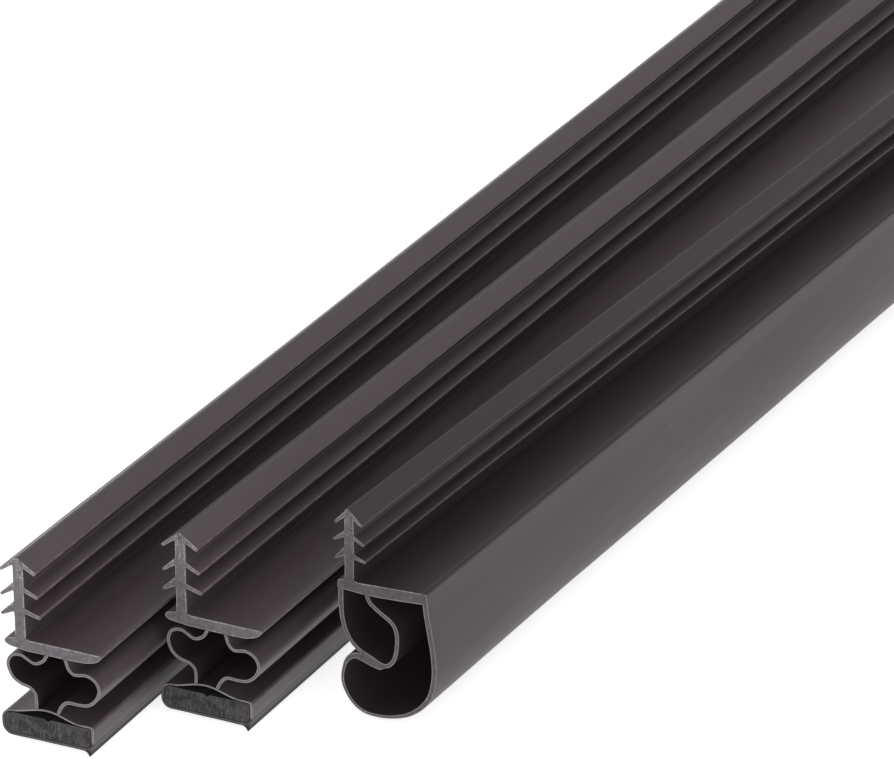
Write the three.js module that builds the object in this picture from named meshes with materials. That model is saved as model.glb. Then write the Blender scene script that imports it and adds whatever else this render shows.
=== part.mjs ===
// Door weatherstrip set: two magnetic bellows seals and one compression bulb seal, lying side by side.
//
// Units are millimetres and +Z is up. The left strip runs along +Y and the others fan out from it a
// little. The origin is at the middle of the set's footprint, on the surface that it stands on. A
// section is drawn in X and Z about its own strip's datum: x = 0 at the middle of the sealing bulb or
// sleeve, z = 0 at its underside.
import * as THREE from 'three';

// ---- driving dimensions ----

const STRIP_LENGTH = 914; // a 36 inch door head
const FUSED_GAP = 0.05; // between neighbours that leave the die as one length
const SLIDE_GAP = 0.08; // round the magnet in its sleeve

// Where each strip's front end stands, from the left strip's, and its turn in degrees towards -X
const FIRST_STRIP = { x: 0, front: 0, turn: 0 };
const SECOND_STRIP = { x: 14.2, front: 13.9, turn: -1.25 };
const THIRD_STRIP = { x: 35.6, front: 22.2, turn: -3.4 };

// Magnetic strip
const MAGNETIC = {
  stem: { left: -3.95, right: -2.5, ridge: -3.3, shoulder: 22.9, top: 23.9, foot: 13.45 },
  flangeTop: 13.25,
  flangeBottom: 11.75,
  flangeLeft: -5.55,
  flangeRight: 7.8,
  bellowsWall: [0.42, 0.42],
  sleeveLeft: -6.35,
  sleeveRight: 6.3,
  sleeveTop: 3.4,
  sleeveWall: 0.36,
  sleeveRoof: 0.22,
  sleeveHeel: 1.3, // radius of both left corners
  sleeveToe: 0.35, // radius of the upper right corner
  arch: { left: -5.05, peak: -0.1, right: 4.3, rise: 0.98, sharpness: 1.65 },
  lip: { root: 5.0, tip: 6.5, top: 0.55 },
};

// Compression strip
const COMPRESSION = {
  stem: { left: -7.0, right: -5.72, ridge: -6.65, shoulder: 26.1, top: 26.95, foot: 17.75 },
  flangeLeft: -8.0,
  flangeRight: 3.45,
  flangeBottom: 16.12,
  // Wall thickness at even steps from the flange, down and round to the end of the hook
  bulbWall: [0.72, 0.74, 0.74, 0.72, 0.7, 0.62, 0.5, 0.42, 0.42, 0.42, 0.42, 0.85, 0.45],
  // The same from the middle of the flange, down and round to its left end
  pocketWall: [0.55, 0.55, 0.55, 0.58, 0.74],
};

// Barbs: where each leaves the stem, where its tip is, and its half thickness at both ends
const MAGNETIC_BARBS = {
  left_top: { root: 23.25, tip: [-5.6, 22.0], half: [0.3, 0.22] },
  left_mid: { root: 19.98, tip: [-5.6, 18.75], half: [0.33, 0.2] },
  left_low: { root: 17.3, tip: [-5.6, 16.2], half: [0.42, 0.2] },
  right_top: { root: 23.05, tip: [-1.05, 22.2], half: [0.32, 0.26] },
  right_mid: { root: 19.85, tip: [-0.85, 19.1], half: [0.28, 0.25] },
  right_low: { root: 17.05, tip: [-0.6, 16.5], half: [0.3, 0.25] },
};

const COMPRESSION_BARBS = {
  left_top: { root: 26.1, tip: [-8.2, 24.97], half: [0.26, 0.19] },
  left_mid: { root: 23.55, tip: [-8.4, 22.65], half: [0.3, 0.16] },
  left_low: { root: 21.2, tip: [-8.2, 20.25], half: [0.36, 0.16] },
  right_top: { root: 26.0, tip: [-4.75, 25.1], half: [0.28, 0.2] },
  right_mid: { root: 23.25, tip: [-4.5, 22.6], half: [0.25, 0.2] },
  right_low: { root: 20.75, tip: [-4.3, 20.35], half: [0.27, 0.2] },
};

// Middle lines of the thin walls, from the flange down
const BELLOWS_LEFT = [
  [0.15, 11.58], [-0.3, 10.85], [-1.5, 10.27], [-3.4, 11.05], [-4.67, 10.7], [-5.2, 9.5],
  [-4.6, 7.85], [-3.5, 7.15], [-2.3, 6.85], [-1.6, 6.25], [-1.45, 5.4], [-1.45, 4.3],
];
const BELLOWS_RIGHT = [
  [2.8, 11.58], [3.15, 10.55], [3.8, 9.95], [5.6, 10.1], [6.75, 9.5], [7.2, 8.4],
  [6.75, 7.1], [5.7, 6.2], [4.4, 5.98], [2.7, 5.9], [1.9, 5.1], [1.5, 4.25],
];
const BULB_MIDDLE = [
  [3.84, 18.0], [4.1, 15.6], [4.65, 12.6], [5.08, 9.8], [5.12, 6.9], [4.55, 4.4],
  [3.3, 2.65], [1.5, 1.3], [-0.6, 0.5], [-2.8, 0.21], [-4.7, 0.42], [-6.3, 1.6],
  [-7.4, 3.75], [-7.12, 6.1], [-6.5, 7.2], [-5.6, 7.68], [-4.67, 7.46], [-3.5, 7.06],
  [-2.2, 6.7],
];
const POCKET_MIDDLE = [
  [-3.9, 15.9], [-3.6, 15.25], [-2.9, 14.65], [-1.9, 14.0], [-0.7, 13.25], [-0.1, 12.4],
  [0.12, 11.4], [0.12, 10.3], [-0.05, 9.1], [-0.5, 7.95], [-1.25, 7.27], [-2.2, 7.33],
  [-3.4, 7.87], [-5.1, 8.55], [-6.15, 9.45], [-6.85, 10.65], [-7.3, 12.05], [-7.5, 13.95],
  [-7.55, 15.95],
];

const WALL_STEPS = 64; // along each thin wall
const ROUND_STEPS = 6; // along a barb's round root or tip
const ARCH_STEPS = 16; // along the sleeve's arched roof

// ---- materials ----

const FLEXIBLE_PVC = { color: 0x4a4244, roughness: 0.5, metalness: 0 };
const RIGID_PVC = { color: 0x564e50, roughness: 0.42, metalness: 0 };
const MAGNET_STRIP = { color: 0x3c3d40, roughness: 0.75, metalness: 0.05 };

// ---- helpers ----

const point = ([x, z]) => new THREE.Vector2(x, z);

/** Extrudes a section along the strip: shape x and y become X and Z. */
function extruded(shape) {
  const geometry = new THREE.ExtrudeGeometry(shape, {
    depth: STRIP_LENGTH,
    bevelEnabled: false,
    curveSegments: 8,
  });
  geometry.rotateX(Math.PI / 2);
  geometry.translate(0, STRIP_LENGTH, 0);
  return geometry;
}

/** Points of an arc about centre, both ends included. Angles are in radians, from +X towards +Z. */
function arcPoints([x, z], radius, from, to, steps) {
  return Array.from({ length: steps + 1 }, (_, i) => {
    const angle = from + ((to - from) * i) / steps;
    return [x + radius * Math.cos(angle), z + radius * Math.sin(angle)];
  });
}

/** A value part of the way along a list of evenly spaced values. */
function between(values, along) {
  const place = along * (values.length - 1);
  const first = Math.min(Math.floor(place), values.length - 2);
  return THREE.MathUtils.lerp(values[first], values[first + 1], place - first);
}

/** A thin wall along a smooth middle line, with its thickness listed at even steps. */
function wallShape(middle, thickness) {
  const line = middle.map(([x, z]) => new THREE.Vector3(x, z, 0));
  const curve = new THREE.CatmullRomCurve3(line, false, 'centripetal');
  const outer = [];
  const inner = [];
  for (let i = 0; i <= WALL_STEPS; i += 1) {
    const along = i / WALL_STEPS;
    const at = curve.getPointAt(along);
    const way = curve.getTangentAt(along);
    const half = between(thickness, along) / 2;
    outer.push(new THREE.Vector2(at.x - way.y * half, at.y + way.x * half));
    inner.push(new THREE.Vector2(at.x + way.y * half, at.y - way.x * half));
  }
  return new THREE.Shape([...outer, ...inner.reverse()]);
}

/** The middle of a barb's round root, which is also its hinge line. */
function barbRoot(stem, side, barb) {
  const [half] = barb.half;
  const face = side < 0 ? stem.left : stem.right;
  const slope = (barb.root - barb.tip[1]) / Math.abs(barb.tip[0] - face);
  const reach = half + FUSED_GAP;
  return [face + side * reach, barb.root - slope * reach];
}

/** A barb tapers from a round root beside the stem to a round tip. */
function barbShape(stem, side, barb) {
  const root = barbRoot(stem, side, barb);
  const [rootHalf, tipHalf] = barb.half;
  const run = [barb.tip[0] - root[0], barb.tip[1] - root[1]];
  const way = Math.atan2(run[1], run[0]);
  const spread = Math.acos((rootHalf - tipHalf) / Math.hypot(...run));
  const outline = [
    ...arcPoints(root, rootHalf, way + spread, way + 2 * Math.PI - spread, ROUND_STEPS),
    ...arcPoints(barb.tip, tipHalf, way - spread, way + spread, ROUND_STEPS),
  ];
  return new THREE.Shape(outline.map(point));
}

/** The stem ends in a small roof whose ridge leans to the left. */
function stemShape({ left, right, ridge, shoulder, top, foot }) {
  const outline = [
    [left, foot + FUSED_GAP], [right, foot + FUSED_GAP], [right, shoulder],
    [ridge + 0.25, top], [ridge - 0.15, top], [left, shoulder + 0.25],
  ];
  return new THREE.Shape(outline.map(point));
}

// ---- magnetic strip ----

function magneticFlangeShape() {
  const { stem, flangeTop, flangeBottom, flangeLeft, flangeRight } = MAGNETIC;
  const fillet = stem.foot - flangeTop;
  const outline = [
    [stem.left - fillet, flangeTop], [stem.left, stem.foot], [stem.right, stem.foot],
    [stem.right + fillet, flangeTop], [flangeRight, flangeTop], [flangeRight - 0.1, 12.85],
    [flangeRight - 0.7, 12.2], [5.5, flangeBottom + 0.05], [4.0, flangeBottom],
    [-2.6, flangeBottom], [-3.4, 11.9], [-4.7, 12.0], [-5.3, 12.2], [flangeLeft, 12.55],
    [flangeLeft + 0.1, 12.9], [flangeLeft + 0.45, 13.18],
  ];
  return new THREE.Shape(outline.reverse().map(point));
}

/** The arched roof, from right to left, over a level at its two feet. */
function archPoints(level, rise) {
  const { left, peak, right, sharpness } = MAGNETIC.arch;
  return Array.from({ length: ARCH_STEPS + 1 }, (_, i) => {
    const x = THREE.MathUtils.lerp(right, left, i / ARCH_STEPS);
    const reach = x > peak ? right - peak : left - peak;
    const height = Math.cos((Math.PI / 2) * ((x - peak) / reach));
    return [x, level + rise * Math.max(height, 0) ** sharpness];
  });
}

/** The rounded outline that the sleeve's hollow and the magnet share, a distance inside the sleeve. */
function nestedOutline(inset, top) {
  const { sleeveLeft, sleeveRight, sleeveHeel } = MAGNETIC;
  const radius = sleeveHeel - inset;
  const right = sleeveRight - inset;
  const chamfer = 0.2;
  return {
    below: [
      ...arcPoints([sleeveLeft + sleeveHeel, sleeveHeel], radius, Math.PI, 1.5 * Math.PI, 5),
      ...arcPoints([sleeveRight - sleeveHeel, sleeveHeel], radius, 1.5 * Math.PI, 2 * Math.PI, 5),
      [right, top - chamfer], [right - chamfer, top],
    ],
    leftShoulder: arcPoints([sleeveLeft + sleeveHeel, top - radius], radius, Math.PI / 2, Math.PI, 5),
  };
}

/** A closed tube round the magnet, with a drip lip at its lower right corner. */
function sleeveShape() {
  const { sleeveLeft, sleeveRight, sleeveTop, sleeveWall, sleeveRoof } = MAGNETIC;
  const { sleeveHeel, sleeveToe, arch, lip } = MAGNETIC;
  const outer = [
    ...arcPoints([sleeveLeft + sleeveHeel, sleeveHeel], sleeveHeel, Math.PI, 1.5 * Math.PI, 5),
    [lip.root, 0], [lip.tip, 0], [sleeveRight, lip.top],
    ...arcPoints([sleeveRight - sleeveToe, sleeveTop - sleeveToe], sleeveToe, 0, Math.PI / 2, 3),
    ...archPoints(sleeveTop, arch.rise).slice(0, -1),
    ...arcPoints([sleeveLeft + sleeveHeel, sleeveTop - sleeveHeel], sleeveHeel, Math.PI / 2, Math.PI, 5),
  ];
  const hollow = nestedOutline(sleeveWall, sleeveTop - sleeveRoof);
  const inner = [
    ...hollow.below,
    ...archPoints(sleeveTop - sleeveRoof, arch.rise - 0.04).slice(0, -1),
    ...hollow.leftShoulder,
  ];
  const shape = new THREE.Shape(outer.map(point));
  shape.holes.push(new THREE.Path(inner.map(point)));
  return shape;
}

/** A flat bar with rounded corners and a small groove along the middle of its top. */
function magnetShape() {
  const { sleeveTop, sleeveWall, sleeveRoof } = MAGNETIC;
  const top = sleeveTop - sleeveRoof - SLIDE_GAP;
  const bar = nestedOutline(sleeveWall + SLIDE_GAP, top);
  const groove = { half: 0.45, deep: 0.35 };
  const outline = [
    ...bar.below,
    [groove.half, top], [0, top - groove.deep], [-groove.half, top],
    ...bar.leftShoulder,
  ];
  return new THREE.Shape(outline.map(point));
}

// ---- compression strip ----

function compressionFlangeShape() {
  const { stem, flangeLeft, flangeRight, flangeBottom } = COMPRESSION;
  const outline = [
    [flangeLeft, flangeBottom + 0.25], [flangeLeft + 0.15, flangeBottom + 0.13],
    [-4.8, flangeBottom], [-2.3, flangeBottom], [0.3, 16.3], [flangeRight, 16.62],
    [flangeRight, 18.06], [stem.right + 0.25, 17.52], [stem.right, stem.foot],
    [stem.left, stem.foot], [stem.left - 0.2, 17.5], [flangeLeft + 0.15, 17.45],
    [flangeLeft, 17.3],
  ];
  return new THREE.Shape(outline.map(point));
}

// ---- assembly ----

const group = new THREE.Group();

/** Adds one sub-part: its section extruded, under its own name and with its own material. */
function addPart(strip, name, shape, look) {
  const mesh = new THREE.Mesh(extruded(shape), new THREE.MeshStandardMaterial(look));
  mesh.name = name;
  strip.add(mesh);
}

function addBarbs(strip, prefix, stem, barbs) {
  for (const [place, barb] of Object.entries(barbs)) {
    const side = place.startsWith('left') ? -1 : 1;
    addPart(strip, `${prefix}_barb_${place}`, barbShape(stem, side, barb), FLEXIBLE_PVC);
  }
}

function magneticStrip(prefix) {
  const strip = new THREE.Group();
  const { stem, bellowsWall } = MAGNETIC;
  addPart(strip, `${prefix}_stem`, stemShape(stem), RIGID_PVC);
  addPart(strip, `${prefix}_flange`, magneticFlangeShape(), RIGID_PVC);
  addBarbs(strip, prefix, stem, MAGNETIC_BARBS);
  addPart(strip, `${prefix}_bellows_left`, wallShape(BELLOWS_LEFT, bellowsWall), FLEXIBLE_PVC);
  addPart(strip, `${prefix}_bellows_right`, wallShape(BELLOWS_RIGHT, bellowsWall), FLEXIBLE_PVC);
  addPart(strip, `${prefix}_sleeve`, sleeveShape(), FLEXIBLE_PVC);
  addPart(strip, `${prefix}_magnet`, magnetShape(), MAGNET_STRIP);
  return strip;
}

function compressionStrip(prefix) {
  const strip = new THREE.Group();
  const { stem, bulbWall, pocketWall } = COMPRESSION;
  addPart(strip, `${prefix}_stem`, stemShape(stem), RIGID_PVC);
  addPart(strip, `${prefix}_flange`, compressionFlangeShape(), RIGID_PVC);
  addBarbs(strip, prefix, stem, COMPRESSION_BARBS);
  addPart(strip, `${prefix}_bulb_wall`, wallShape(BULB_MIDDLE, bulbWall), FLEXIBLE_PVC);
  addPart(strip, `${prefix}_pocket_wall`, wallShape(POCKET_MIDDLE, pocketWall), FLEXIBLE_PVC);
  return strip;
}

/** Stands a strip at its place in the row. */
function place(strip, { x, front, turn }) {
  strip.position.set(x, front, 0);
  strip.rotation.z = THREE.MathUtils.degToRad(turn);
  group.add(strip);
}

/** Moves the row so that the middle of its footprint is at the origin. */
function centre() {
  const middle = new THREE.Box3().setFromObject(group, true).getCenter(new THREE.Vector3());
  for (const strip of group.children) {
    strip.position.x -= middle.x;
    strip.position.y -= middle.y;
  }
}

place(magneticStrip('a'), FIRST_STRIP);
place(magneticStrip('b'), SECOND_STRIP);
place(compressionStrip('c'), THIRD_STRIP);
centre();

export default group;
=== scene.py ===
"""Looks for a set of three kerf-mounted door weatherstrips.

Two are magnetic bellows seals and one is a bulb seal. Each CAD node is an extruded length. Its
section is read from the frame, joined up with its neighbours as the extruder leaves them, rounded off,
and swept again as a fine mesh with knife-cut ends.
"""
import math

import bpy
import numpy as np
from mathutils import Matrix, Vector
from mathutils.geometry import delaunay_2d_cdt


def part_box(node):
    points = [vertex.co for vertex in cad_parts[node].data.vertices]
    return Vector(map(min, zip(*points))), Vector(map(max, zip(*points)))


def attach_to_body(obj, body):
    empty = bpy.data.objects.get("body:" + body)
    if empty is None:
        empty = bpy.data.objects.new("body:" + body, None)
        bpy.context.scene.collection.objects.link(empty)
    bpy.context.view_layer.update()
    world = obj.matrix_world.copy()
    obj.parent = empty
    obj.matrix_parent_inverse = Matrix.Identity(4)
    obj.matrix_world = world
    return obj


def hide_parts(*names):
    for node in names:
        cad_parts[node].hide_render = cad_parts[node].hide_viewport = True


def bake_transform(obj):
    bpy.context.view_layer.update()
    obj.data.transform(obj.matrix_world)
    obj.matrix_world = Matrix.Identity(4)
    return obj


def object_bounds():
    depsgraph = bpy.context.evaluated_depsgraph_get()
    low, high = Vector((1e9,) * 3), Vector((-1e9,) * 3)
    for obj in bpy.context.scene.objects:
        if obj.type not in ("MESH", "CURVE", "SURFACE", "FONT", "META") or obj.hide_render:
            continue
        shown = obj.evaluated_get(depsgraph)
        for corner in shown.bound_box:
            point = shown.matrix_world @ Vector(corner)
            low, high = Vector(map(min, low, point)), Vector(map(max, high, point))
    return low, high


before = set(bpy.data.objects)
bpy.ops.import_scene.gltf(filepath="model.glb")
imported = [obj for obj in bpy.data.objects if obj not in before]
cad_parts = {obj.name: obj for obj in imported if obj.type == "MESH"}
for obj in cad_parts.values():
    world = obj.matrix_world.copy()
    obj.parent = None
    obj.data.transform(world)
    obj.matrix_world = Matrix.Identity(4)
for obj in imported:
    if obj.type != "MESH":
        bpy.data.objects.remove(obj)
cad_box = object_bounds()

MM = 0.001

# Camera: its place from the left sleeve's front corner, and which way it looks
EYE = Vector((243.66, -403.7, 247.02)) * MM
AZIMUTH = math.radians(24.6)
ELEVATION = math.radians(23.2)
LENS = 176.72
SENSOR = 36
VIEW_DEPTH = 20

# Floor and lights, in metres and watts. Each panel has its place from the front edge, size and power.
FLOOR_HALF = 6.0
FLOOR_GLOW = 0.7
PANELS = {
    "key": (Vector((0.2, -1.8, 0.15)), 0.6, 14.3),
    "fill": (Vector((0.3, -1.6, 0.7)), 1.0, 8),
}
WORLD_COLOUR = (1, 0.945, 0.968, 1)
WORLD_STRENGTH = 0.72

# Colours are linear. The compression strip is a darker batch than the magnetic ones; its stem, flange and
# barbs are darker still than its bulb, which is painted shade on its top.
SKIN = (0.054, 0.0428, 0.0467)
DARK_SKIN = (0.0212, 0.0152, 0.0169)
BULB_SKIN = (0.0258, 0.0196, 0.022)
CUT = (0.078, 0.071, 0.077)
# PALE_RIM and DARK_PALE_RIM are painted highlights along the edges of the cut ends
PALE_RIM = (0.25, 0.232, 0.247)
DARK_CUT = (0.0505, 0.0455, 0.049)
DARK_PALE_RIM = (0.22, 0.203, 0.216)
MAGNET = (0.03, 0.03, 0.032)
MAGNET_CUT = (0.0215, 0.0205, 0.0225)
DUST = (0.2, 0.19, 0.19, 1)
PAPER = ((0.9, 0.9, 0.9, 1), (0.93, 0.93, 0.93, 1))

# Small measures: the least length, area and turn that a sum divides by, how far along a ray a hit must
# be to count, and how near in mm two points of a cut end would be merged
LEAST_LENGTH = 1e-9
LEAST_AREA = 1e-15
LEAST_TURN = 1e-6
STEP_OFF = 1e-7
MERGE_DISTANCE = 1e-5

# Reading a section: how deep its front faces may reach, and to how many digits places are told apart
FRONT_DEPTH = 0.1 * MM
PLACE_DIGITS = 7

# Joining up: how far a buried edge goes into its neighbour, and how far apart neighbours may be
BURY = 0.05 * MM
NEAR = 0.2 * MM
TOUCHING = 0.09 * MM
WALL_REACH = 0.9 * MM
ROOT_DEPTH = 0.32 * MM
CORNER_DEPTH = 0.6 * MM
ROOT_FILLET = 0.13 * MM
FILLET_RISE = 0.8
ON_FACE = 0.01 * MM
HOOK_TAPER = 1.0 * MM
BARB_REACH = 4 * MM

# The drip lip hangs from the sleeve's lower right corner: (from the side's face, from the underside).
# The CAD lip lies within its reach and height of that corner, and the side's face starts above it.
# Each painted shade has the height in mm that it ends at and how dark it is.
LIP_POINTS = [
    (-1.5, 0.0), (-1.15, -0.05), (-0.9, -0.28), (-0.74, -0.62), (-0.6, -0.64),
    (-0.48, -0.15), (-0.38, 0.3), (-0.24, 0.62), (-0.1, 0.95), (0.0, 1.4),
]
LIP_SHADES = [(1.2, 0.85), (0.85, 0.6), (0.1, 1.0)]
LIP_REACH = 1.4 * MM
LIP_HEIGHT = 0.6 * MM
SIDE_FACE_HEIGHT = 1 * MM
FLOOR_DROP = 0.66 * MM

# Rounding: which bends count as corners, and how much of each the rounding takes. The magnet rests a
# little lower and further left in its sleeve than in the CAD.
CORNER = math.radians(14)
SHARP_CORNER = math.radians(60)
CORNER_PASSES = 3
CORNER_SHARE = 0.3
SOFTNESS = {
    "stem": 0.16 * MM, "flange": 0.34 * MM, "barb": 0.1 * MM, "sleeve": 0.16 * MM,
    "magnet": 0.06 * MM, "bellows": 0.05 * MM, "bulb": 0.12 * MM, "pocket": 0.05 * MM,
}
LONGEST_EDGE = 0.55 * MM
SHORTEST_EDGE = 0.012 * MM
SHARP_EDGE = math.radians(38)
MAGNET_REST = np.array([-0.05, -0.05]) * MM

# Cut ends
EDGE_CUT = 0.03 * MM
RIM_WIDTH = 0.14 * MM
RIM_SHARE = 0.32
THICKEST_COUNTED = 1 * MM
RIM_CLEARANCE = 0.3 * RIM_WIDTH
GRID_CLEARANCE = 1.6 * RIM_WIDTH
GRID_JITTER = 0.25
INSET_PASSES = 6
LEAST_EDGE_LEFT = 0.3
GRAIN_STEP = {"magnet": 0.24 * MM}
PLAIN_STEP = 0.34 * MM
CUT_FADE = 3 * MM
CUT_TILT = 0.012
CUT_WAVE = 0.035 * MM
COARSE_WAVE = (1.9 * MM, 2.3 * MM)
FINE_WAVE = (0.8 * MM, 1.1 * MM)
FINE_SHARE = 0.6
GRAIN_DEPTH = {"magnet": 0.03 * MM}
PLAIN_DEPTH = 0.01 * MM
RECESS = {"barb": 0.012 * MM, "bellows": 0.008 * MM, "pocket": 0.012 * MM, "bulb": 0.006 * MM,
          "stem": 0.0, "flange": 0.004 * MM, "sleeve": 0.0, "magnet": 0.05 * MM}

# How dark the painted shade in hollows is, from 0 to 1, and how much of the colour is left where it is
# full
HOLLOW_PAINTED_SHADE = {"bulb": 0.0, "pocket": 0.25, "magnet": 0.7}
PLAIN_HOLLOW_PAINTED_SHADE = 0.62
PAINTED_SHADE_FACTOR = 0.08

# Scuffs: from what share of the stem's height, and how far the magnet's dust spreads on its sleeve
SCUFF_START = 0.35
SCUFF_RISE = 0.5
DUST_WIDTH = 2.2 * MM
DUST_DEPTH = 1.4 * MM
DUST_START = 0.6

# The lightened edges, from wearing and a painted highlight, are full at the first radius of bend and gone
# at the second; a hollow is closed off along all rays
EDGE_RADIUS = (0.2 * MM, 0.45 * MM)
WEAR_AND_HIGHLIGHT_CLEARANCE = 0.45 * MM
HOLLOW_RAYS = [math.radians(30 * i) for i in range(12)]
RAY_START = 0.06 * MM

# Sweep stations along a strip and how much the flexible parts sway
NEAR_END = [0.0, 0.4 * MM, 1.4 * MM, 3 * MM, 6 * MM]
STATION = 11 * MM
SWAY = {"bellows": 0.07 * MM, "bulb": 0.12 * MM, "barb": 0.05 * MM}
SWAY_WAVES = (47 * MM, 118 * MM, 263 * MM)
BARB_SWAY_WIDTH = 2 * MM
BARB_SWAY_HEIGHT = 1 * MM

# Ends that attach works out for a barb and a bulb piece: how far past its root a barb's end lies, and how
# high the bulb's unmoved underside is
BARB_BEND = 0.45 * MM
BULB_BASE = 1 * MM

# The colour sockets of Blender's mix node
MIX_A, MIX_B, MIX_RESULT = 6, 7, 2

random = np.random.default_rng(11)


# ---- sections, as closed loops of (x, z) points, anticlockwise round solid ----

def section(faces, points):
    """The loops of a CAD node's front end, the longest first."""
    front = points[:, 1].min()
    place = [(round(x, PLACE_DIGITS), round(z, PLACE_DIGITS)) for x, _, z in points]
    edges = set()
    for face in faces:
        if max(points[i][1] for i in face.vertices) > front + FRONT_DEPTH:
            continue
        corners = [place[i] for i in face.vertices]
        for pair in zip(corners, corners[1:] + corners[:1]):
            if pair[::-1] in edges:
                edges.remove(pair[::-1])
            else:
                edges.add(pair)
    after = dict(edges)
    loops = []
    while after:
        loop = [min(after)]
        while loop[-1] in after:
            loop.append(after.pop(loop[-1]))
        loops.append(np.array(loop[:-1]))
    return sorted(loops, key=lambda loop: -len_of(loop))


def len_of(loop):
    return np.linalg.norm(np.roll(loop, -1, 0) - loop, axis=1).sum()


def bends(loop):
    """How far the outline turns at each point, above 0 where the solid bulges and below where it dips."""
    before = loop - np.roll(loop, 1, 0)
    after = np.roll(loop, -1, 0) - loop
    cross = before[:, 0] * after[:, 1] - before[:, 1] * after[:, 0]
    return np.arctan2(cross, (before * after).sum(1))


def turns(loop):
    """How far the outline turns at each point, either way."""
    return np.abs(bends(loop))


def softened(loop, reach):
    """Rounds each corner off by cutting it, at most reach along its edges, and half as much each time."""
    for _ in range(CORNER_PASSES):
        bend = turns(loop)
        made = []
        for i, at in enumerate(loop):
            if bend[i] < CORNER:
                made.append(at)
                continue
            for other in (loop[i - 1], loop[(i + 1) % len(loop)]):
                way = other - at
                far = np.linalg.norm(way)
                made.append(at + way * min(CORNER_SHARE, reach / far))
        loop = np.array(made)
        reach /= 2
    apart = np.linalg.norm(loop - np.roll(loop, 1, 0), axis=1)
    return loop[apart > SHORTEST_EDGE]


def divided(loop):
    """Adds points so that no edge is longer than LONGEST_EDGE."""
    made = []
    for at, to in zip(loop, np.roll(loop, -1, 0)):
        parts = max(1, math.ceil(np.linalg.norm(to - at) / LONGEST_EDGE))
        made.extend(at + (to - at) * i / parts for i in range(parts))
    return np.array(made)


def inside(points, loops):
    """Which points lie inside the loops, holes taken off."""
    points = np.asarray(points)
    crossed = np.zeros(len(points), int)
    for loop in loops:
        for a, b in zip(loop, np.roll(loop, -1, 0)):
            spans = (a[1] > points[:, 1]) != (b[1] > points[:, 1])
            if spans.any():
                share = (points[:, 1] - a[1]) / (b[1] - a[1] if b[1] != a[1] else 1)
                crossed += spans & (points[:, 0] < a[0] + share * (b[0] - a[0]))
    return crossed % 2 == 1


def nearest(points, loops):
    """For each point, the nearest point on any of the outlines, and how far it is."""
    points = np.asarray(points)
    best = np.full(len(points), math.inf)
    where = points.copy()
    for loop in loops:
        for a, b in zip(loop, np.roll(loop, -1, 0)):
            way = b - a
            share = np.clip(((points - a) @ way) / max(way @ way, LEAST_LENGTH**2), 0, 1)
            spot = a + share[:, None] * way
            far = np.linalg.norm(points - spot, axis=1)
            closer = far < best
            best[closer] = far[closer]
            where[closer] = spot[closer]
    return where, best


def reach_to(start, way, loops):
    """How far it is from start along the unit vector way to the nearest of the outlines."""
    corners = np.concatenate(loops)
    edges = np.concatenate([np.roll(loop, -1, 0) for loop in loops]) - corners
    across = way[0] * edges[:, 1] - way[1] * edges[:, 0]
    across[np.abs(across) < LEAST_AREA] = np.inf
    off = corners - start
    along = (off[:, 0] * edges[:, 1] - off[:, 1] * edges[:, 0]) / across
    share = (off[:, 0] * way[1] - off[:, 1] * way[0]) / across
    met = (along > STEP_OFF) & (share >= 0) & (share <= 1)
    return along[met].min(initial=math.inf)


def unit(way):
    return way / np.linalg.norm(way)


def snapped(loop, neighbours, depth=BURY):
    """Closes the narrow gap to the neighbours by burying the points beside it."""
    where, far = nearest(loop, neighbours)
    made = loop.copy()
    close = far < NEAR
    way = (where - loop) / np.maximum(far, LEAST_LENGTH)[:, None]
    made[close] = where[close] + way[close] * depth
    return made


def top_of(wall):
    """The outline's points within a wall's reach of its top."""
    return wall[wall[:, 1] > wall[:, 1].max() - WALL_REACH]


def run_into_wall(loop, wall):
    """Runs a flange's right end on into the wall beside it, so that their top edge is one corner."""
    made = loop.copy()
    made[loop[:, 0] > wall[:, 0].max() - WALL_REACH, 0] += CORNER_DEPTH
    return made


def drawn_out_ends(loop, neighbours):
    """Draws each square end of a thin wall out until it is buried in what it meets."""
    bend = turns(loop) > SHARP_CORNER
    made = loop.copy()
    count = len(loop)
    for i in range(count):
        j = (i + 1) % count
        if not (bend[i] and bend[j]):
            continue
        ways = unit(loop[i] - loop[i - 1]), unit(loop[j] - loop[(j + 1) % count])
        gaps = [reach_to(loop[k], way, neighbours) for k, way in zip((i, j), ways)]
        gap = min(gaps)
        if gap > WALL_REACH:
            continue
        for k, way, own in zip((i, j), ways, gaps):
            made[k] = loop[k] + way * ((own if own < WALL_REACH else gap) + BURY)
    return made


def rooted_barb(loop, stem):
    """Draws a barb's two sides out into the stem, with a small fillet on the stem's upright faces."""
    edges = np.linalg.norm(np.roll(loop, -1, 0) - loop, axis=1)
    first, second = sorted(np.argsort(edges)[-2:])
    chains = [
        np.roll(loop, -(first + 1), 0)[: second - first],
        np.roll(loop, -(second + 1), 0)[: len(loop) - second + first],
    ]
    middle = stem.mean(0)[0]
    tip = max(chains, key=lambda chain: abs(chain[:, 0].mean() - middle))
    root = min(chains, key=lambda chain: abs(chain[:, 0].mean() - middle))
    side = 1 if tip[:, 0].mean() > middle else -1
    made = list(tip)
    for at, to, leading in ((tip[-1], root[0], False), (tip[0], root[-1], True)):
        way = unit(to - at)
        reach = reach_to(at, way, [stem])
        if reach > BARB_REACH:
            off = np.abs((stem - at) @ np.array([-way[1], way[0]]))
            hit = stem[off.argmin()]
        else:
            hit = at + way * reach
        upright = min(abs(hit[0] - stem[:, 0].min()), abs(hit[0] - stem[:, 0].max())) < ON_FACE
        upwards = 1 if at[1] > tip.mean(0)[1] else -1
        ends = [hit + way * BURY]
        if upright:
            ends = [
                hit - way * ROOT_FILLET,
                hit + np.array([0, upwards * ROOT_FILLET * FILLET_RISE]),
                hit + np.array([-side * BURY, upwards * ROOT_FILLET]),
            ]
        made = ends[::-1] + made if leading else made + ends
    return np.array(made)


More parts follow.
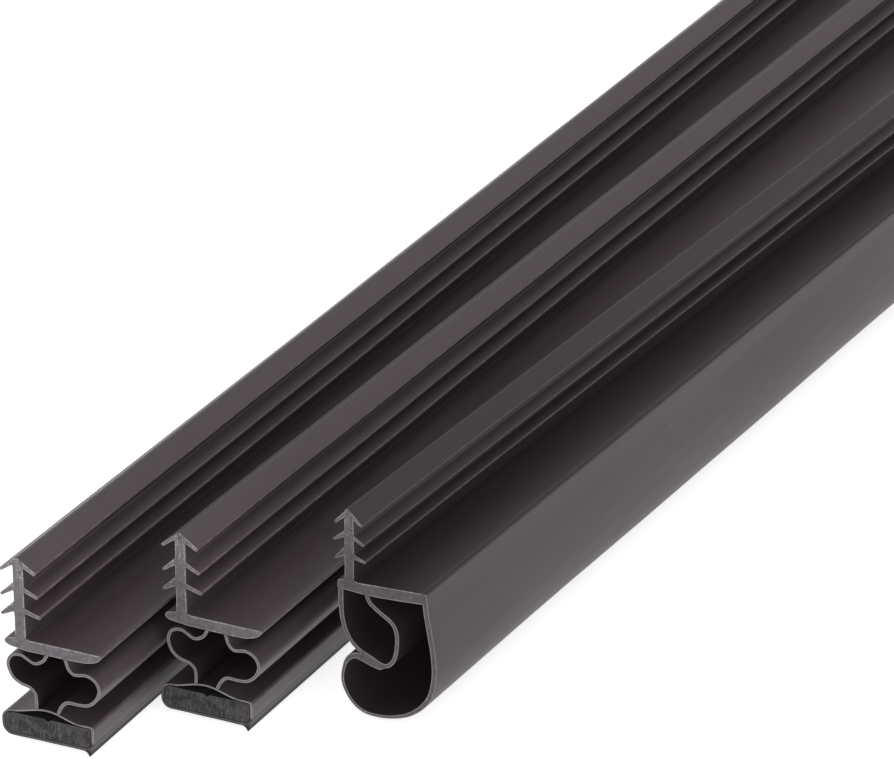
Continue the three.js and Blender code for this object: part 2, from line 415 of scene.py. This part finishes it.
def with_tapered_hook(loop, pocket):
    """Runs the free corner of the bulb wall's hook out to a wedge against the pocket wall."""
    bend = turns(loop) > SHARP_CORNER
    _, far = nearest(loop, [pocket])
    for i in range(len(loop)):
        j = (i + 1) % len(loop)
        if bend[i] and bend[j] and min(far[i], far[j]) < NEAR:
            free, along = (i, loop[i - 1]) if far[i] > far[j] else (j, loop[(j + 1) % len(loop)])
            tip = loop[free] + unit(loop[free] - along) * HOOK_TAPER
            where, _ = nearest([tip], [pocket])
            return np.insert(loop, j, where[0], 0)
    raise ValueError("the bulb wall's hook doesn't reach the pocket wall")


def with_hanging_lip(loop):
    """Gives the sleeve its thin drip lip, hanging a little below the magnet."""
    low = loop[:, 1].min()
    face = loop[loop[:, 1] > low + SIDE_FACE_HEIGHT][:, 0].max()
    lip = (loop[:, 1] < low + LIP_HEIGHT) & (loop[:, 0] > face - LIP_REACH)
    first = next(i for i in range(len(loop)) if lip[i] and not lip[i - 1])
    kept = np.roll(loop, -first, 0)[lip.sum():]
    hanging = [(face + x * MM, low + z * MM) for x, z in LIP_POINTS]
    return np.concatenate([hanging, kept])


def kind_of(part):
    return part.split("_")[0]


def joined_sections(loops):
    """Every piece's loops in one strip, joined up with its neighbours and rounded off."""
    outer = {part: found[0] for part, found in loops.items()}
    made = {}
    for part, found in loops.items():
        kind = kind_of(part)
        first = found[0]
        if kind == "stem":
            first = snapped(first, [outer["flange"]], ROOT_DEPTH)
        elif kind == "flange" and "bulb_wall" in outer:
            first = run_into_wall(first, top_of(outer["bulb_wall"]))
        elif kind == "barb":
            first = rooted_barb(first, outer["stem"])
        elif kind == "bellows":
            first = drawn_out_ends(first, [outer["flange"], outer["sleeve"]])
        elif kind == "pocket":
            first = drawn_out_ends(first, [outer["flange"]])
        elif kind == "bulb":
            first = snapped(with_tapered_hook(first, outer["pocket_wall"]), [outer["pocket_wall"]])
        elif kind == "sleeve":
            first = with_hanging_lip(first)
        elif kind == "magnet":
            first = first + MAGNET_REST
        made[part] = [divided(softened(loop, SOFTNESS[kind])) for loop in [first, *found[1:]]]
    return made


# ---- swept meshes ----

def inward(loop):
    """The unit vector into the solid at each point of a loop."""
    ways = np.roll(loop, -1, 0) - np.roll(loop, 1, 0)
    ways /= np.linalg.norm(ways, axis=1)[:, None]
    return np.stack([-ways[:, 1], ways[:, 0]], 1)


def joined_to(loop, neighbours):
    """1 where a loop's point lies in or against a neighbour, 0 where it is free."""
    _, far = nearest(loop, [found[0] for found in neighbours])
    held = far < TOUCHING
    for found in neighbours:
        held |= inside(loop, found)
    return held.astype(float)


def edge_wear_and_highlight(loop):
    """How much an edge is lightened, for wearing and as a painted highlight: 1 where an outline bends
    sharply outwards, 0 where it is flat, hollow or gently round.
    """
    edges = np.linalg.norm(np.roll(loop, -1, 0) - loop, axis=1)
    length = (np.roll(edges, 1) + edges) / 2
    radius = length / np.maximum(bends(loop), LEAST_TURN)
    tight, gentle = EDGE_RADIUS
    return np.clip((gentle - radius) / (gentle - tight), 0, 1)


def exposed(loop, neighbours):
    """Whether each point of an outline is far enough from its neighbours for its edges to be lightened,
    for wearing and as a painted highlight.
    """
    _, far = nearest(loop, [found[0] for found in neighbours])
    return far > WEAR_AND_HIGHLIGHT_CLEARANCE


def in_hollow(loop, loops):
    """Whether each point of an outline faces a hollow that the section closes off on all sides."""
    rays = [np.array([math.cos(a), math.sin(a)]) for a in HOLLOW_RAYS]
    starts = loop - inward(loop) * RAY_START
    return np.array([all(reach_to(at, ray, loops) < math.inf for ray in rays) for at in starts])


def stations(front, back):
    """Places along a strip, close together near both ends."""
    start = [front + step for step in NEAR_END]
    count = round((back - front - 2 * NEAR_END[-1]) / STATION)
    middle = np.linspace(start[-1], back - NEAR_END[-1], count + 1)[1:-1]
    return np.array([*start, *middle, *[back - step for step in reversed(NEAR_END)]])


def own_axes(mesh):
    """The unit vectors across, along and up a strip, found from the two ends of one of its nodes."""
    corners = np.array(sorted({tuple(round(c, PLACE_DIGITS) for c in v.co) for v in mesh.vertices}))
    back = corners[:, 1] > corners[:, 1].mean()
    along = unit(corners[back].mean(0) - corners[~back].mean(0))
    up = np.array([0, 0, 1])
    return np.array([np.cross(along, up), along, up])


class Strip:
    """What the pieces of one strip share, in its own frame: x is across it, y along it and z up."""

    def __init__(self, letter):
        self.name = letter
        prefix = letter + "_"
        names = [name for name in sorted(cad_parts) if name.startswith(prefix)]
        meshes = {name.removeprefix(prefix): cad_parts[name].data for name in names}
        self.axes = own_axes(meshes["flange"])
        self.corners = {
            part: np.array([v.co for v in mesh.vertices]) @ self.axes.T
            for part, mesh in meshes.items()
        }
        self.sections = joined_sections({
            part: section(mesh.polygons, self.corners[part])
            for part, mesh in meshes.items()
        })
        low, high = self.box("flange")
        self.front, self.back = low.y, high.y
        self.ys = stations(low.y, high.y)
        self.flange_low, self.flange_high = low.z, high.z
        self.stem_low, self.stem_high = self.box("stem")
        self.magnetic = "sleeve" in meshes
        self.seal_top = self.box("sleeve")[1].z if self.magnetic else 0.0
        self.phases = random.uniform(0, 2 * math.pi, (2, len(SWAY_WAVES)))
        self.tilts = random.uniform(-CUT_TILT, CUT_TILT, (2, 2))
        self.cut_phases = random.uniform(0, 2 * math.pi, 4)
        self.middle = (self.stem_low.x + self.stem_high.x) / 2

    def box(self, part):
        """The lowest and highest corner of a CAD node, in the strip's own frame."""
        return Vector(self.corners[part].min(0)), Vector(self.corners[part].max(0))

    def neighbours_of(self, part):
        """The sections of the strip's other pieces, leaving out the magnet, which is loose."""
        if kind_of(part) == "magnet":
            return []
        return [
            found for other, found in self.sections.items()
            if other != part and kind_of(other) != "magnet"
        ]

    def world(self, points):
        return np.asarray(points) @ self.axes

    def limpness(self, points):
        """How far each point of the section may sway, from nothing at the rigid spine."""
        x, z = points[:, 0], points[:, 1]
        below = np.clip((self.flange_low - z) / (self.flange_low - self.seal_top), 0, 1)
        if self.magnetic:
            limp = SWAY["bellows"] * np.sin(math.pi * below)
        else:
            limp = SWAY["bulb"] * below
        aside = np.maximum(x - self.stem_high.x, self.stem_low.x - x)
        beside = np.clip(aside / BARB_SWAY_WIDTH, 0, 1) * (z > self.flange_high + BARB_SWAY_HEIGHT)
        return limp + SWAY["barb"] * beside

    def sway(self, points, y):
        """The section's points at one station, moved a little aside and up."""
        limp = self.limpness(points)
        waves = [
            sum(math.sin(2 * math.pi * y / w + p) for w, p in zip(SWAY_WAVES, phases)) / 2
            for phases in self.phases
        ]
        return points + limp[:, None] * np.array(waves)

    def cut(self, points, end):
        """How far a cut end stands off square at each point. End is 0 at the front, 1 at the back."""
        x, z = points[:, 0] - self.middle, points[:, 1] - self.flange_low
        p = self.cut_phases
        wave = np.sin(x / COARSE_WAVE[0] + p[0]) * np.sin(z / COARSE_WAVE[1] + p[1])
        wave = wave + FINE_SHARE * np.sin(x / FINE_WAVE[0] + z / FINE_WAVE[1] + p[2 + end])
        return self.tilts[end] @ np.array([x, z]) + CUT_WAVE * wave


def inset(loop, widths):
    """Moves a loop's points into the solid, less far where that would turn an edge round."""
    ways = inward(loop)
    edges = np.roll(loop, -1, 0) - loop
    widths = widths.copy()
    for _ in range(INSET_PASSES):
        made = loop + ways * widths[:, None]
        turned = ((np.roll(made, -1, 0) - made) * edges).sum(1) < LEAST_EDGE_LEFT * (edges * edges).sum(1)
        if not turned.any():
            break
        widths[turned | np.roll(turned, 1)] /= 2
    return made


def rim_points(loops, held):
    """The rim of a cut end, loop by loop, and a second row of points up to a rim's width inside it."""
    rims = []
    seconds = []
    for loop, joined in zip(loops, held):
        thick = np.array([reach_to(at, way, loops) for at, way in zip(loop, inward(loop))])
        width = np.minimum(RIM_WIDTH, RIM_SHARE * np.minimum(thick, THICKEST_COUNTED))
        rims.append(inset(loop, EDGE_CUT * (1 - joined)))
        seconds.append(inset(loop, width))
    return rims, well_inside(np.concatenate(seconds), loops, RIM_CLEARANCE)


def well_inside(points, loops, clearance):
    """The points that lie inside the loops and further than clearance from them."""
    _, far = nearest(points, loops)
    return points[inside(points, loops) & (far > clearance)]


def grid_points(loops, edge, step):
    """A grid of points over a cut end, each moved a little at random."""
    low, high = edge.min(0), edge.max(0)
    xs, zs = (np.arange(low[i] + step / 2, high[i], step) for i in (0, 1))
    grid = np.array([(x, z) for x in xs for z in zs]).reshape(-1, 2)
    grid = grid + random.uniform(-GRID_JITTER, GRID_JITTER, grid.shape) * step
    return well_inside(grid, loops, GRID_CLEARANCE)


def triangles(points, rims):
    """Triangles between the points, anticlockwise, that keep to the inside of the rims."""
    bounds = []
    for loop in rims:
        first = len(bounds)
        bounds.extend((first + i, first + (i + 1) % len(loop)) for i in range(len(loop)))
    scaled = [Vector(p / MM) for p in points]
    found, _, faces, sources, _, _ = delaunay_2d_cdt(scaled, bounds, [], 0, MERGE_DISTANCE, True)
    if len(found) != len(points) or any(len(s) != 1 for s in sources):
        raise ValueError("a cut end's points run into each other")
    order = np.array([s[0] for s in sources])
    faces = np.array([[order[i] for i in face] for face in faces])
    faces = faces[inside(points[faces].mean(1), rims)]
    a, b, c = (points[faces[:, i]] for i in range(3))
    area = (b - a)[:, 0] * (c - a)[:, 1] - (b - a)[:, 1] * (c - a)[:, 0]
    faces[area < 0] = faces[area < 0][:, ::-1]
    return faces


def cap(kind, loops, held):
    """Points and triangles of a cut end, with each point's rim weight. The loops' points come first."""
    rims, second = rim_points(loops, held)
    edge = np.concatenate(rims)
    grid = grid_points(loops, edge, GRAIN_STEP.get(kind, PLAIN_STEP))
    points = np.concatenate([edge, second, grid])
    rim = np.zeros(len(points))
    rim[: len(edge)] = 1 - np.concatenate(held)
    return points, triangles(points, rims), rim


def side_rings(strip, outline, recess, bevel):
    """The outline at each station, drawn towards the shape of a cut end that is near."""
    rings = []
    for y in strip.ys:
        moved = strip.sway(outline, y)
        shift = np.full(len(outline), y)
        for end, sign, distance in ((0, 1, y - strip.front), (1, -1, strip.back - y)):
            if distance < CUT_FADE:
                part_way = 1 - distance / CUT_FADE
                shift = shift + (strip.cut(outline, end) + sign * recess + sign * bevel) * part_way
        rings.append(np.stack([moved[:, 0], shift, moved[:, 1]], 1))
    return rings


def end_points(strip, points, relief):
    """The points of the front and the back cut end. Relief is how deep each point lies."""
    ends = []
    for y, end, sign in ((strip.front, 0, 1), (strip.back, 1, -1)):
        moved = strip.sway(points, y)
        across = y + strip.cut(points, end) + sign * relief
        ends.append(np.stack([moved[:, 0], across, moved[:, 1]], 1))
    return ends


def surfaces(loops, rings, cap_size, faces):
    """The polygons round the sides and over both ends, and each one's material."""
    count = sum(len(loop) for loop in loops)
    front_cap = rings * count
    back_cap = front_cap + cap_size
    bands = [(ring * count, (ring + 1) * count) for ring in range(rings - 1)]
    bands += [(front_cap, 0), ((rings - 1) * count, back_cap)]
    sides = []
    first = 0
    for loop in loops:
        here = np.arange(first, first + len(loop))
        after = np.roll(here, -1)
        for low, high in bands:
            sides.extend(np.stack([low + here, high + here, high + after, low + after], 1).tolist())
        first += len(loop)
    ends = [*(front_cap + faces).tolist(), *(back_cap + faces[:, ::-1]).tolist()]
    return sides + ends, [0] * len(sides) + [1] * len(ends)


def swept(strip, part, materials):
    """A piece's mesh: its loops swept along the strip, with a cut end at the front and the back."""
    loops = strip.sections[part]
    kind = kind_of(part)
    held = [joined_to(loop, strip.neighbours_of(part)) for loop in loops]
    outline = np.concatenate(loops)
    points, faces, rim = cap(kind, loops, held)
    grain = random.uniform(-1, 1, len(points)) * GRAIN_DEPTH.get(kind, PLAIN_DEPTH)
    grain[: len(outline)] = 0
    bevel = EDGE_CUT * (1 - np.concatenate(held))
    rings = side_rings(strip, outline, RECESS[kind], bevel)
    verts = np.concatenate([*rings, *end_points(strip, points, RECESS[kind] + grain)])
    polygons, marks = surfaces(loops, len(rings), len(points), faces)

    mesh = bpy.data.meshes.new(f"{strip.name}_{part}")
    mesh.from_pydata(strip.world(verts).tolist(), [], polygons)
    for material in materials:
        mesh.materials.append(material)
    mesh.polygons.foreach_set("material_index", marks)
    store_places(mesh, verts)
    store_weights(mesh, strip, part, verts, held, rim)
    mesh.polygons.foreach_set("use_smooth", [True] * len(polygons))
    mesh.update()
    mesh.set_sharp_from_angle(angle=SHARP_EDGE)
    return added(f"{strip.name}_{part}_skin", mesh)


def added(name, data):
    """A new object, linked to the scene."""
    made = bpy.data.objects.new(name, data)
    bpy.context.scene.collection.objects.link(made)
    return made


def store_places(mesh, places):
    """Stores each point's place in its strip's own frame, which the patterns follow."""
    layer = mesh.attributes.new("place", "FLOAT_VECTOR", "POINT")
    layer.data.foreach_set("vector", np.asarray(places, np.float32).ravel())


def store_weights(mesh, strip, part, verts, held, rim):
    """Stores what the materials read: where the rim, the edges lightened for wearing and as a painted
    highlight, the painted shade of hollows and the lip, and the scuffs are.
    """
    loops = strip.sections[part]
    others = strip.neighbours_of(part)
    every = [loop for found in strip.sections.values() for loop in found]
    # Painted shade: points facing a closed hollow, and the sleeve's lip, get a dark weight
    darkness = HOLLOW_PAINTED_SHADE.get(kind_of(part), PLAIN_HOLLOW_PAINTED_SHADE)
    hollow = darkness * np.concatenate([in_hollow(loop, every) for loop in loops])
    # Outer edges lightened, for wearing and as a painted highlight
    wear_and_highlight = np.concatenate([edge_wear_and_highlight(loop) * exposed(loop, others) for loop in loops])
    rings = len(strip.ys)
    ends = np.zeros(2 * len(rim))
    dark = np.concatenate([np.tile(hollow, rings), ends])
    marked(mesh, "rim", np.concatenate([np.tile(1 - np.concatenate(held), rings), rim, rim]))
    marked(mesh, "wear_and_highlight", np.concatenate([np.tile(wear_and_highlight, rings), ends]))
    marked(mesh, "dark", np.maximum(dark, lip_shade(strip, part, verts)))
    marked(mesh, "scuff", scuffs(strip, part, verts))


def marked(mesh, name, weights):
    """Stores a weight for each of the mesh's points, for its materials."""
    layer = mesh.attributes.new(name, "FLOAT", "POINT")
    layer.data.foreach_set("value", weights.astype(np.float32))


def lip_shade(strip, part, verts):
    """Painted shade on the drip lip and the round corner above it, which are darker than the rest of the
    sleeve.
    """
    shade = np.zeros(len(verts))
    if part != "sleeve":
        return shade
    low, high = strip.box("sleeve")
    beside = verts[:, 0] > high.x - LIP_REACH
    for top, darkness in LIP_SHADES:
        shade[beside & (verts[:, 2] < low.z + top * MM)] = darkness
    return shade


def scuffs(strip, part, verts):
    """Where the knife scuffed the ends: the upper stem and barbs, and the magnet's dust on its sleeve."""
    x, z = verts[:, 0], verts[:, 2]
    if kind_of(part) in ("stem", "barb"):
        height = (z - strip.flange_high) / (strip.stem_high.z - strip.flange_high)
        return np.clip((height - SCUFF_START) / SCUFF_RISE, 0, 1)
    if kind_of(part) == "sleeve":
        from_right = (strip.box("sleeve")[1].x - x) / DUST_WIDTH
        from_top = (strip.seal_top - z) / DUST_DEPTH - DUST_START
        return np.clip(from_right, 0, 1) * np.clip(from_top, 0, 1)
    return np.zeros(len(verts))


# ---- materials ----

class Nodes:
    """Short ways to add and link nodes in one material."""

    def __init__(self, name):
        self.material = bpy.data.materials.new(name)
        self.material.use_nodes = True
        self.tree = self.material.node_tree
        self.shader = self.tree.nodes["Principled BSDF"]

    def add(self, kind, inputs=None, **settings):
        node = self.tree.nodes.new(kind)
        for name, value in settings.items():
            setattr(node, name, value)
        for name, value in (inputs or {}).items():
            self.put(node.inputs[name], value)
        return node

    def put(self, socket, value):
        if isinstance(value, bpy.types.NodeSocket):
            self.tree.links.new(value, socket)
        else:
            socket.default_value = value

    def place(self, size):
        """The place in the strip's own frame, divided by a pattern's size in mm along each axis."""
        where = self.add("ShaderNodeAttribute", attribute_name="place").outputs["Vector"]
        scale = [1 / (s * MM) for s in size]
        return self.add("ShaderNodeMapping", {"Vector": where, "Scale": scale}).outputs[0]

    def noise(self, size, detail=2.0, rough=0.5):
        node = self.add(
            "ShaderNodeTexNoise",
            {"Vector": self.place(size), "Scale": 1.0, "Detail": detail, "Roughness": rough},
        )
        return node.outputs["Fac"]

    def ranged(self, value, low, high, to_low=0.0, to_high=1.0):
        names = {"Value": value, "From Min": low, "From Max": high, "To Min": to_low, "To Max": to_high}
        return self.add("ShaderNodeMapRange", names).outputs["Result"]

    def maths(self, operation, a, b):
        node = self.add("ShaderNodeMath", operation=operation)
        self.put(node.inputs[0], a)
        self.put(node.inputs[1], b)
        return node.outputs[0]

    def mix(self, share, a, b, blend_type="MIX"):
        node = self.add("ShaderNodeMix", data_type="RGBA", blend_type=blend_type)
        self.put(node.inputs["Factor"], share)
        self.put(node.inputs[MIX_A], a)
        self.put(node.inputs[MIX_B], b)
        return node.outputs[MIX_RESULT]

    def attribute(self, name):
        return self.add("ShaderNodeAttribute", attribute_name=name).outputs["Fac"]

    def bump(self, height, strength, depth, normal=None):
        """Relief of a depth in mm, on top of another normal if one is given."""
        names = {"Height": height, "Strength": strength, "Distance": depth * MM}
        if normal is not None:
            names["Normal"] = normal
        return self.add("ShaderNodeBump", names).outputs[0]


def shade(colour, factor=1.0):
    return (*[c * factor for c in colour], 1.0)


def extruded_pvc(name, colour, rough, gloss):
    """Satin PVC straight from the die: fine lines, dust, clouds, edges lightened for wearing and as a
    painted highlight, and painted shade in hollows and on the sleeve's lip.
    """
    n = Nodes(name)
    lines = n.noise((0.35, 150, 0.35), 3)
    fine = n.noise((0.09, 40, 0.09), 2)
    clouds = n.noise((7, 45, 7), 3)
    mottle = n.noise((0.7, 3.5, 0.7), 3, 0.6)
    grain = n.noise((0.16,) * 3, 2, 0.7)
    wear_and_highlight = n.attribute("wear_and_highlight")
    dark = n.attribute("dark")
    dust = n.add(
        "ShaderNodeTexVoronoi",
        {"Vector": n.place((5.5, 6.5, 5.5)), "Scale": 1.0, "Randomness": 1.0},
    ).outputs["Distance"]
    base = n.mix(n.ranged(lines, 0.3, 0.7), shade(colour, 0.9), shade(colour, 1.1))
    base = n.mix(n.ranged(clouds, 0.3, 0.7, 0, 0.6), base, shade(colour, 1.35))
    base = n.mix(n.ranged(mottle, 0.35, 0.65, 0, 0.5), base, shade(colour, 1.4))
    base = n.mix(n.ranged(grain, 0.55, 0.75, 0, 0.25), base, shade(colour, 1.5))
    specks = n.ranged(dust, 0.012, 0.026, 0.55, 0.0)
    base = n.mix(specks, base, DUST)
    # Sharp outer edges lightened in patches, for wearing and as a painted highlight
    patchy = n.ranged(n.noise((0.3, 1.1, 0.3), 3), 0.35, 0.6, 0.2, 0.8)
    worn_and_highlit = n.maths("MULTIPLY", wear_and_highlight, patchy)
    base = n.mix(worn_and_highlit, base, shade(colour, 3.8))
    # Painted shade in hollows and on the sleeve's lip: the colour goes nearly black there
    base = n.mix(dark, base, shade(colour, PAINTED_SHADE_FACTOR))
    n.put(n.shader.inputs["Base Color"], base)
    streaks = n.ranged(lines, 0.3, 0.7, -0.03, 0.03)
    uneven = n.maths("ADD", streaks, n.ranged(clouds, 0.3, 0.7, -0.03, 0.05))
    n.put(n.shader.inputs["Roughness"], n.maths("ADD", uneven, rough))
    # The specular level drops with the painted shade, so shaded places lose their reflection too
    n.put(n.shader.inputs["Specular IOR Level"], n.ranged(dark, 0, 1, gloss, 0.25 * gloss))
    normal = n.bump(lines, 0.25, 0.015)
    normal = n.bump(fine, 0.2, 0.005, normal)
    normal = n.bump(grain, 0.3, 0.006, normal)
    n.put(n.shader.inputs["Normal"], normal)
    return n.material


def cut_pvc(name, colour, pale, dusty):
    """A knife-cut end: paler and rougher, with a painted highlight round its rim, and whitish specks or
    the magnet's dust.
    """
    n = Nodes(name)
    blotches = n.noise((0.7,) * 3, 3, 0.6)
    grain = n.noise((0.12,) * 3, 3, 0.7)
    drag = n.noise((0.12, 1, 1.3), 2, 0.6)
    rim = n.attribute("rim")
    scuff = n.attribute("scuff")
    dark = n.attribute("dark")
    base = n.mix(n.ranged(blotches, 0.35, 0.65), shade(colour, 0.68), shade(colour, 1.32))
    base = n.mix(n.ranged(grain, 0.4, 0.7, 0, 0.5), base, shade(colour, 1.5))
    # A painted highlight along the rim, broken up by the grain
    ragged = n.maths("MULTIPLY", n.ranged(rim, 0.05, 0.7), n.ranged(grain, 0.3, 0.6, 0.5, 1.0))
    base = n.mix(n.maths("MULTIPLY", ragged, 0.9), base, shade(pale))
    if dusty:
        base = n.mix(n.maths("MULTIPLY", scuff, 0.85), base, shade(MAGNET_CUT, 1.3))
    else:
        white = n.maths("MULTIPLY", n.ranged(grain, 0.5, 0.62), n.ranged(drag, 0.42, 0.6))
        white = n.maths("MULTIPLY", white, scuff)
        base = n.mix(n.maths("MULTIPLY", white, 0.9), base, shade(pale, 1.8))
    # Painted shade on the cut end of the sleeve's lip and the corner above it
    base = n.mix(dark, base, shade(colour, PAINTED_SHADE_FACTOR))
    n.put(n.shader.inputs["Base Color"], base)
    n.put(n.shader.inputs["Roughness"], n.ranged(grain, 0.3, 0.7, 0.52, 0.75))
    n.shader.inputs["Specular IOR Level"].default_value = 0.3
    normal = n.bump(grain, 0.5, 0.03)
    normal = n.bump(drag, 0.4, 0.03, normal)
    n.put(n.shader.inputs["Normal"], normal)
    return n.material


def magnet_side(name):
    """Flexible magnet: dull, dark and slightly grainy."""
    n = Nodes(name)
    grain = n.noise((0.2,) * 3, 3, 0.7)
    lines = n.noise((0.4, 90, 0.4), 2)
    base = n.mix(n.ranged(grain, 0.3, 0.7), shade(MAGNET, 0.75), shade(MAGNET, 1.25))
    base = n.mix(n.ranged(lines, 0.3, 0.7, 0, 0.4), base, shade(MAGNET, 1.5))
    # Painted shade where the magnet faces the closed gap in its sleeve
    base = n.mix(n.attribute("dark"), base, shade(MAGNET, PAINTED_SHADE_FACTOR))
    n.put(n.shader.inputs["Base Color"], base)
    n.put(n.shader.inputs["Roughness"], n.ranged(grain, 0.3, 0.7, 0.6, 0.8))
    n.put(n.shader.inputs["Normal"], n.bump(grain, 0.5, 0.03))
    return n.material


def magnet_cut(name):
    """The magnet's snapped end: mottled, with dark pits, pale crumbs and upright drag marks."""
    n = Nodes(name)
    patches = n.noise((1.5, 1, 1.1), 3, 0.6)
    grain = n.noise((0.15,) * 3, 3, 0.75)
    drag = n.noise((0.2, 1, 1.2), 3, 0.65)
    crumbs = n.noise((0.32,) * 3, 2, 0.6)
    rim = n.attribute("rim")
    base = n.mix(n.ranged(patches, 0.42, 0.56), shade(MAGNET_CUT, 0.3), shade(MAGNET_CUT, 1.35))
    base = n.mix(n.ranged(drag, 0.52, 0.64, 0, 0.85), base, shade(MAGNET_CUT, 3.2))
    base = n.mix(n.ranged(crumbs, 0.4, 0.31, 0, 0.9), base, shade(MAGNET_CUT, 0.15))
    base = n.mix(n.ranged(grain, 0.48, 0.75, 0, 0.8), base, shade(MAGNET_CUT, 3.0))
    # A painted highlight along the rim
    base = n.mix(n.ranged(rim, 0.4, 1.0, 0, 0.45), base, shade(MAGNET_CUT, 2.4))
    n.put(n.shader.inputs["Base Color"], base)
    n.put(n.shader.inputs["Roughness"], n.ranged(grain, 0.3, 0.7, 0.6, 0.85))
    n.shader.inputs["Specular IOR Level"].default_value = 0.25
    normal = n.bump(crumbs, 0.7, 0.08)
    normal = n.bump(grain, 0.6, 0.04, normal)
    n.put(n.shader.inputs["Normal"], normal)
    return n.material


def floor_paper(name):
    """Plain white paper that glows, which keeps the strips' shadows very soft."""
    n = Nodes(name)
    fibres = n.noise((2,) * 3, 3)
    n.put(n.shader.inputs["Base Color"], n.mix(fibres, *PAPER))
    n.shader.inputs["Roughness"].default_value = 0.9
    n.shader.inputs["Specular IOR Level"].default_value = 0.1
    n.shader.inputs["Emission Color"].default_value = (1, 1, 1, 1)
    n.shader.inputs["Emission Strength"].default_value = FLOOR_GLOW
    return n.material


pale_cut = cut_pvc("pvc_cut", CUT, PALE_RIM, False)
dark_cut = cut_pvc("dark_pvc_cut", DARK_CUT, DARK_PALE_RIM, False)
RIGID = [extruded_pvc("rigid_pvc_skin", SKIN, 0.42, 0.5), pale_cut]
FLEXIBLE = [extruded_pvc("flexible_pvc_skin", SKIN, 0.46, 0.5), pale_cut]
SLEEVE = [FLEXIBLE[0], cut_pvc("sleeve_cut", CUT, PALE_RIM, True)]
DARK_RIGID = [extruded_pvc("dark_rigid_pvc_skin", DARK_SKIN, 0.42, 0.4), dark_cut]
DARK_FLEXIBLE = [extruded_pvc("dark_flexible_pvc_skin", DARK_SKIN, 0.46, 0.4), dark_cut]
BULB = [extruded_pvc("bulb_skin", BULB_SKIN, 0.5, 0.4), dark_cut]
MAGNET_BAR = [magnet_side("magnet_side"), magnet_cut("magnet_cut")]


def look_of(strip, kind):
    """The side and cut materials of a piece, and the name of its material slot."""
    if kind == "magnet":
        return MAGNET_BAR, "flexible_magnet"
    if kind in ("stem", "flange"):
        return (RIGID if strip.magnetic else DARK_RIGID), "rigid_pvc"
    if kind == "barb":
        return (FLEXIBLE if strip.magnetic else DARK_FLEXIBLE), "flexible_pvc"
    if kind == "sleeve":
        return SLEEVE, "flexible_pvc"
    return (FLEXIBLE if strip.magnetic else BULB), "flexible_pvc"


# ---- pieces on their bodies ----

def attach(piece, strip, part):
    """Rides a stem, flange, sleeve or magnet on its body; any other piece stays where it is, its place
    baked into its mesh.
    """
    kind = kind_of(part)
    spine = strip.name + "_spine"
    low, high = strip.box(part)
    middle = (low + high) / 2
    if kind in ("stem", "flange"):
        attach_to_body(piece, spine)
    elif kind == "sleeve":
        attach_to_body(piece, strip.name + "_seal")
    elif kind == "magnet":
        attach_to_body(piece, strip.name + "_magnet_bar")
    elif kind == "barb":
        right = middle.x > strip.middle
        face = strip.stem_high.x if right else strip.stem_low.x
        root = low.x if right else high.x
        start = (face, middle.y, middle.z)
        end = (root + (BARB_BEND if right else -BARB_BEND), middle.y, middle.z)
        strip.world(start)
        strip.world(end)
        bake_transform(piece)
    else:
        top = (middle.x, middle.y, strip.flange_low)
        bottom = (middle.x, middle.y, strip.seal_top if kind == "bellows" else BULB_BASE)
        strip.world(top)
        strip.world(bottom)
        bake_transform(piece)


for letter in "abc":
    strip = Strip(letter)
    for part in strip.sections:
        materials, slot = look_of(strip, kind_of(part))
        piece = swept(strip, part, materials)
        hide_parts(f"{letter}_{part}")
        attach(piece, strip, part)


# ---- floor, lights and camera ----

def add_floor():
    half = FLOOR_HALF
    z = cad_box[0].z - FLOOR_DROP
    corners = [(-half, -half, z), (half, -half, z), (half, half, z), (-half, half, z)]
    mesh = bpy.data.meshes.new("floor")
    mesh.from_pydata(corners, [], [(0, 1, 2, 3)])
    store_places(mesh, corners)
    mesh.materials.append(floor_paper("floor_paper"))
    added("floor", mesh)


def turn_to(thing, way):
    """Turns a light or the camera to look along way."""
    thing.rotation_mode = "QUATERNION"
    thing.rotation_quaternion = way.to_track_quat("-Z", "Y")


def add_panels():
    """Square soft boxes in front of the strips, turned towards their front edge."""
    front = Vector((0, cad_box[0].y, 0))
    for name, (place, size, power) in PANELS.items():
        data = bpy.data.lights.new(name, "AREA")
        data.shape = "SQUARE"
        data.size = size
        data.energy = power
        panel = added(name, data)
        panel.location = front + place
        turn_to(panel, front - panel.location)


def add_world():
    world = bpy.data.worlds.new("studio")
    world.use_nodes = True
    background = world.node_tree.nodes["Background"]
    background.inputs["Color"].default_value = WORLD_COLOUR
    background.inputs["Strength"].default_value = WORLD_STRENGTH
    bpy.context.scene.world = world


def add_camera():
    data = bpy.data.cameras.new("camera")
    data.lens = LENS
    data.sensor_width = SENSOR
    data.clip_end = VIEW_DEPTH
    camera = added("camera", data)
    camera.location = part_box("a_sleeve")[0] + EYE
    turn_to(camera, Vector((
        -math.sin(AZIMUTH) * math.cos(ELEVATION),
        math.cos(AZIMUTH) * math.cos(ELEVATION),
        -math.sin(ELEVATION),
    )))
    bpy.context.scene.camera = camera


add_floor()
add_world()
add_panels()
add_camera()
bpy.context.scene.view_settings.view_transform = "Standard"
